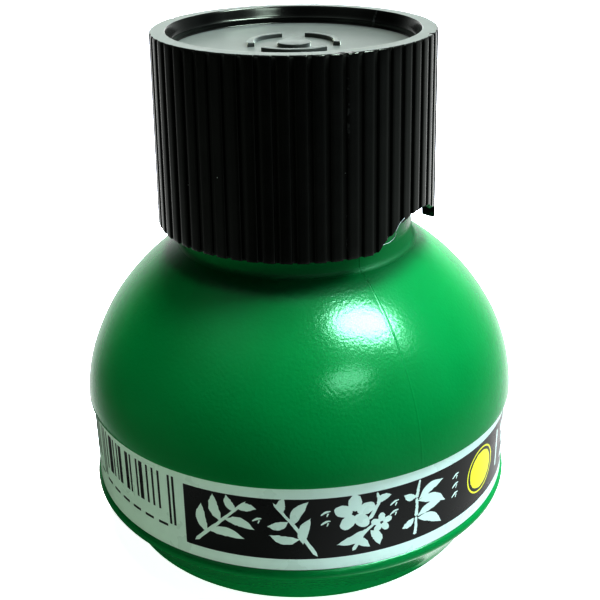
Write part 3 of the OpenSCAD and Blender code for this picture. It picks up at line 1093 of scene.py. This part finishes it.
def softbox(name, bearing, elevation, width, height, power, roll=0.0):
    """A soft box as the gloss shows it."""
    holder = lit_from(name, "AREA", bearing, elevation, STUDIO_DISTANCE, power)
    holder.data.shape = "ELLIPSE"
    holder.data.size, holder.data.size_y = width, height
    holder.rotation_quaternion = holder.rotation_quaternion @ Quaternion((0, 0, 1), math.radians(roll))
    holder.visible_diffuse = False


def fill(bearing, elevation, spread, power, colour):
    """The same studio's soft light from one side, as the colours take it."""
    holder = lit_from("fill", "SUN", bearing, elevation, STUDIO_DISTANCE, power)
    holder.data.angle = math.radians(spread)
    holder.data.color = colour
    holder.visible_glossy = False


def bounce(bearing, elevation, distance, power):
    """Light that the table throws back at the base, which is nearest to it."""
    holder = lit_from("bounce", "AREA", bearing, elevation, distance, power)
    holder.data.shape = "DISK"
    holder.data.size = 0.05
    holder.data.color = COOL
    holder.visible_glossy = False


COOL, PLAIN, GREENISH = (0.9, 1.0, 1.22), (1.0, 1.0, 1.0), (0.85, 1.0, 0.8)
# Each is a bearing, an elevation, how narrow it is, and how bright.
LOBES = [
    (45, -60, 8, 1.4), (135, -60, 8, 1.1), (225, -60, 8, 4.6), (60, -25, 20, 0.2), (90, -25, 20, 0.7),
    (120, -25, 20, 0.8), (150, -25, 20, 1.7), (205, -22, 20, 0.8), (300, -25, 20, 0.2), (120, 5, 20, 0.3),
    (150, 5, 20, 1.3), (180, 5, 20, 1.8), (210, 5, 20, 1.4), (120, 30, 16, 0.3), (180, 13, 30, 2.4),
    (60, 55, 12, 2.0), (120, 55, 12, 0.6), (300, 55, 12, 1.2),
]
# Each is a bearing, an elevation, how wide it is in degrees, how bright, and its colour.
FILLS = [
    (45, -18, 40, 1.0, PLAIN), (90, -50, 40, 0.8, COOL), (315, -50, 40, 1.5, PLAIN),
    (275, -12, 40, 1.1, GREENISH), (80, 20, 40, 1.0, COOL), (120, 75, 20, 6.4, COOL),
    (90, 45, 20, 2.6, COOL), (135, 45, 20, 1.2, COOL), (180, 45, 20, 4.0, PLAIN), (0, 90, 20, 2.0, PLAIN),
]


def world():
    """The studio as the gloss shows it: bright behind and above on the right, and dark on most of the
    camera's side. Seen directly it is an even white."""
    made = bpy.data.worlds.new("studio")
    bpy.context.scene.world = made
    made.use_nodes = True
    made.cycles_visibility.diffuse = False
    tree = made.node_tree
    tree.nodes.clear()
    where = add(tree, "ShaderNodeTexCoord").outputs["Generated"]
    total = None
    for bearing, elevation, power, strength in LOBES:
        aim = direction(bearing, elevation)
        dot = add(tree, "ShaderNodeVectorMath", {0: where, 1: aim}, operation="DOT_PRODUCT")
        half = maths(tree, "MULTIPLY_ADD", dot.outputs["Value"], 0.5, 0.5)
        lobe = maths(tree, "MULTIPLY", maths(tree, "POWER", half, 2 * power), strength)
        total = lobe if total is None else maths(tree, "ADD", total, lobe)
    seen = add(tree, "ShaderNodeBackground", {"Color": (1, 1, 1, 1), "Strength": 1.0})
    light = add(tree, "ShaderNodeBackground", {"Strength": total})
    ray = add(tree, "ShaderNodeLightPath").outputs["Is Camera Ray"]
    mix = add(tree, "ShaderNodeMixShader", {0: ray, 1: light.outputs[0], 2: seen.outputs[0]})
    output = add(tree, "ShaderNodeOutputWorld")
    tree.links.new(mix.outputs[0], output.inputs["Surface"])


def camera():
    """The photo's camera, close to the bottle and looking down at it."""
    data = bpy.data.cameras.new("camera")
    data.lens = 62.63
    data.sensor_width = 36.0
    data.clip_start, data.clip_end = 0.005, 20
    made = bpy.data.objects.new("camera", data)
    bpy.context.scene.collection.objects.link(made)
    position = Matrix.Translation((-0.00083, -0.12624, 0.08766))
    pitch = Matrix.Rotation(math.radians(65.399), 4, "X")
    yaw = Matrix.Rotation(math.radians(-0.497), 4, "Z")
    roll = Matrix.Rotation(math.radians(-0.895), 4, "Z")
    made.matrix_world = position @ (yaw @ pitch) @ roll
    bpy.context.scene.camera = made


camera()
world()
stage()
softbox("key_softbox", 62, 56, 0.29, 0.165, 6.4, roll=-42)
softbox("window", 29, 35, 0.2, 0.1, 0.65)
softbox("doorway", 73, 41, 0.1, 0.13, 0.3)
for side in FILLS:
    fill(*side)
bounce(28, -42, 0.07, 0.012)
bounce(80, -45, 0.07, 0.003)
bpy.context.scene.view_settings.view_transform = "Standard"
bpy.context.scene.view_settings.gamma = 0.75

bottle()
label()
cap()
inner_plug()
cap_liner()
ink()
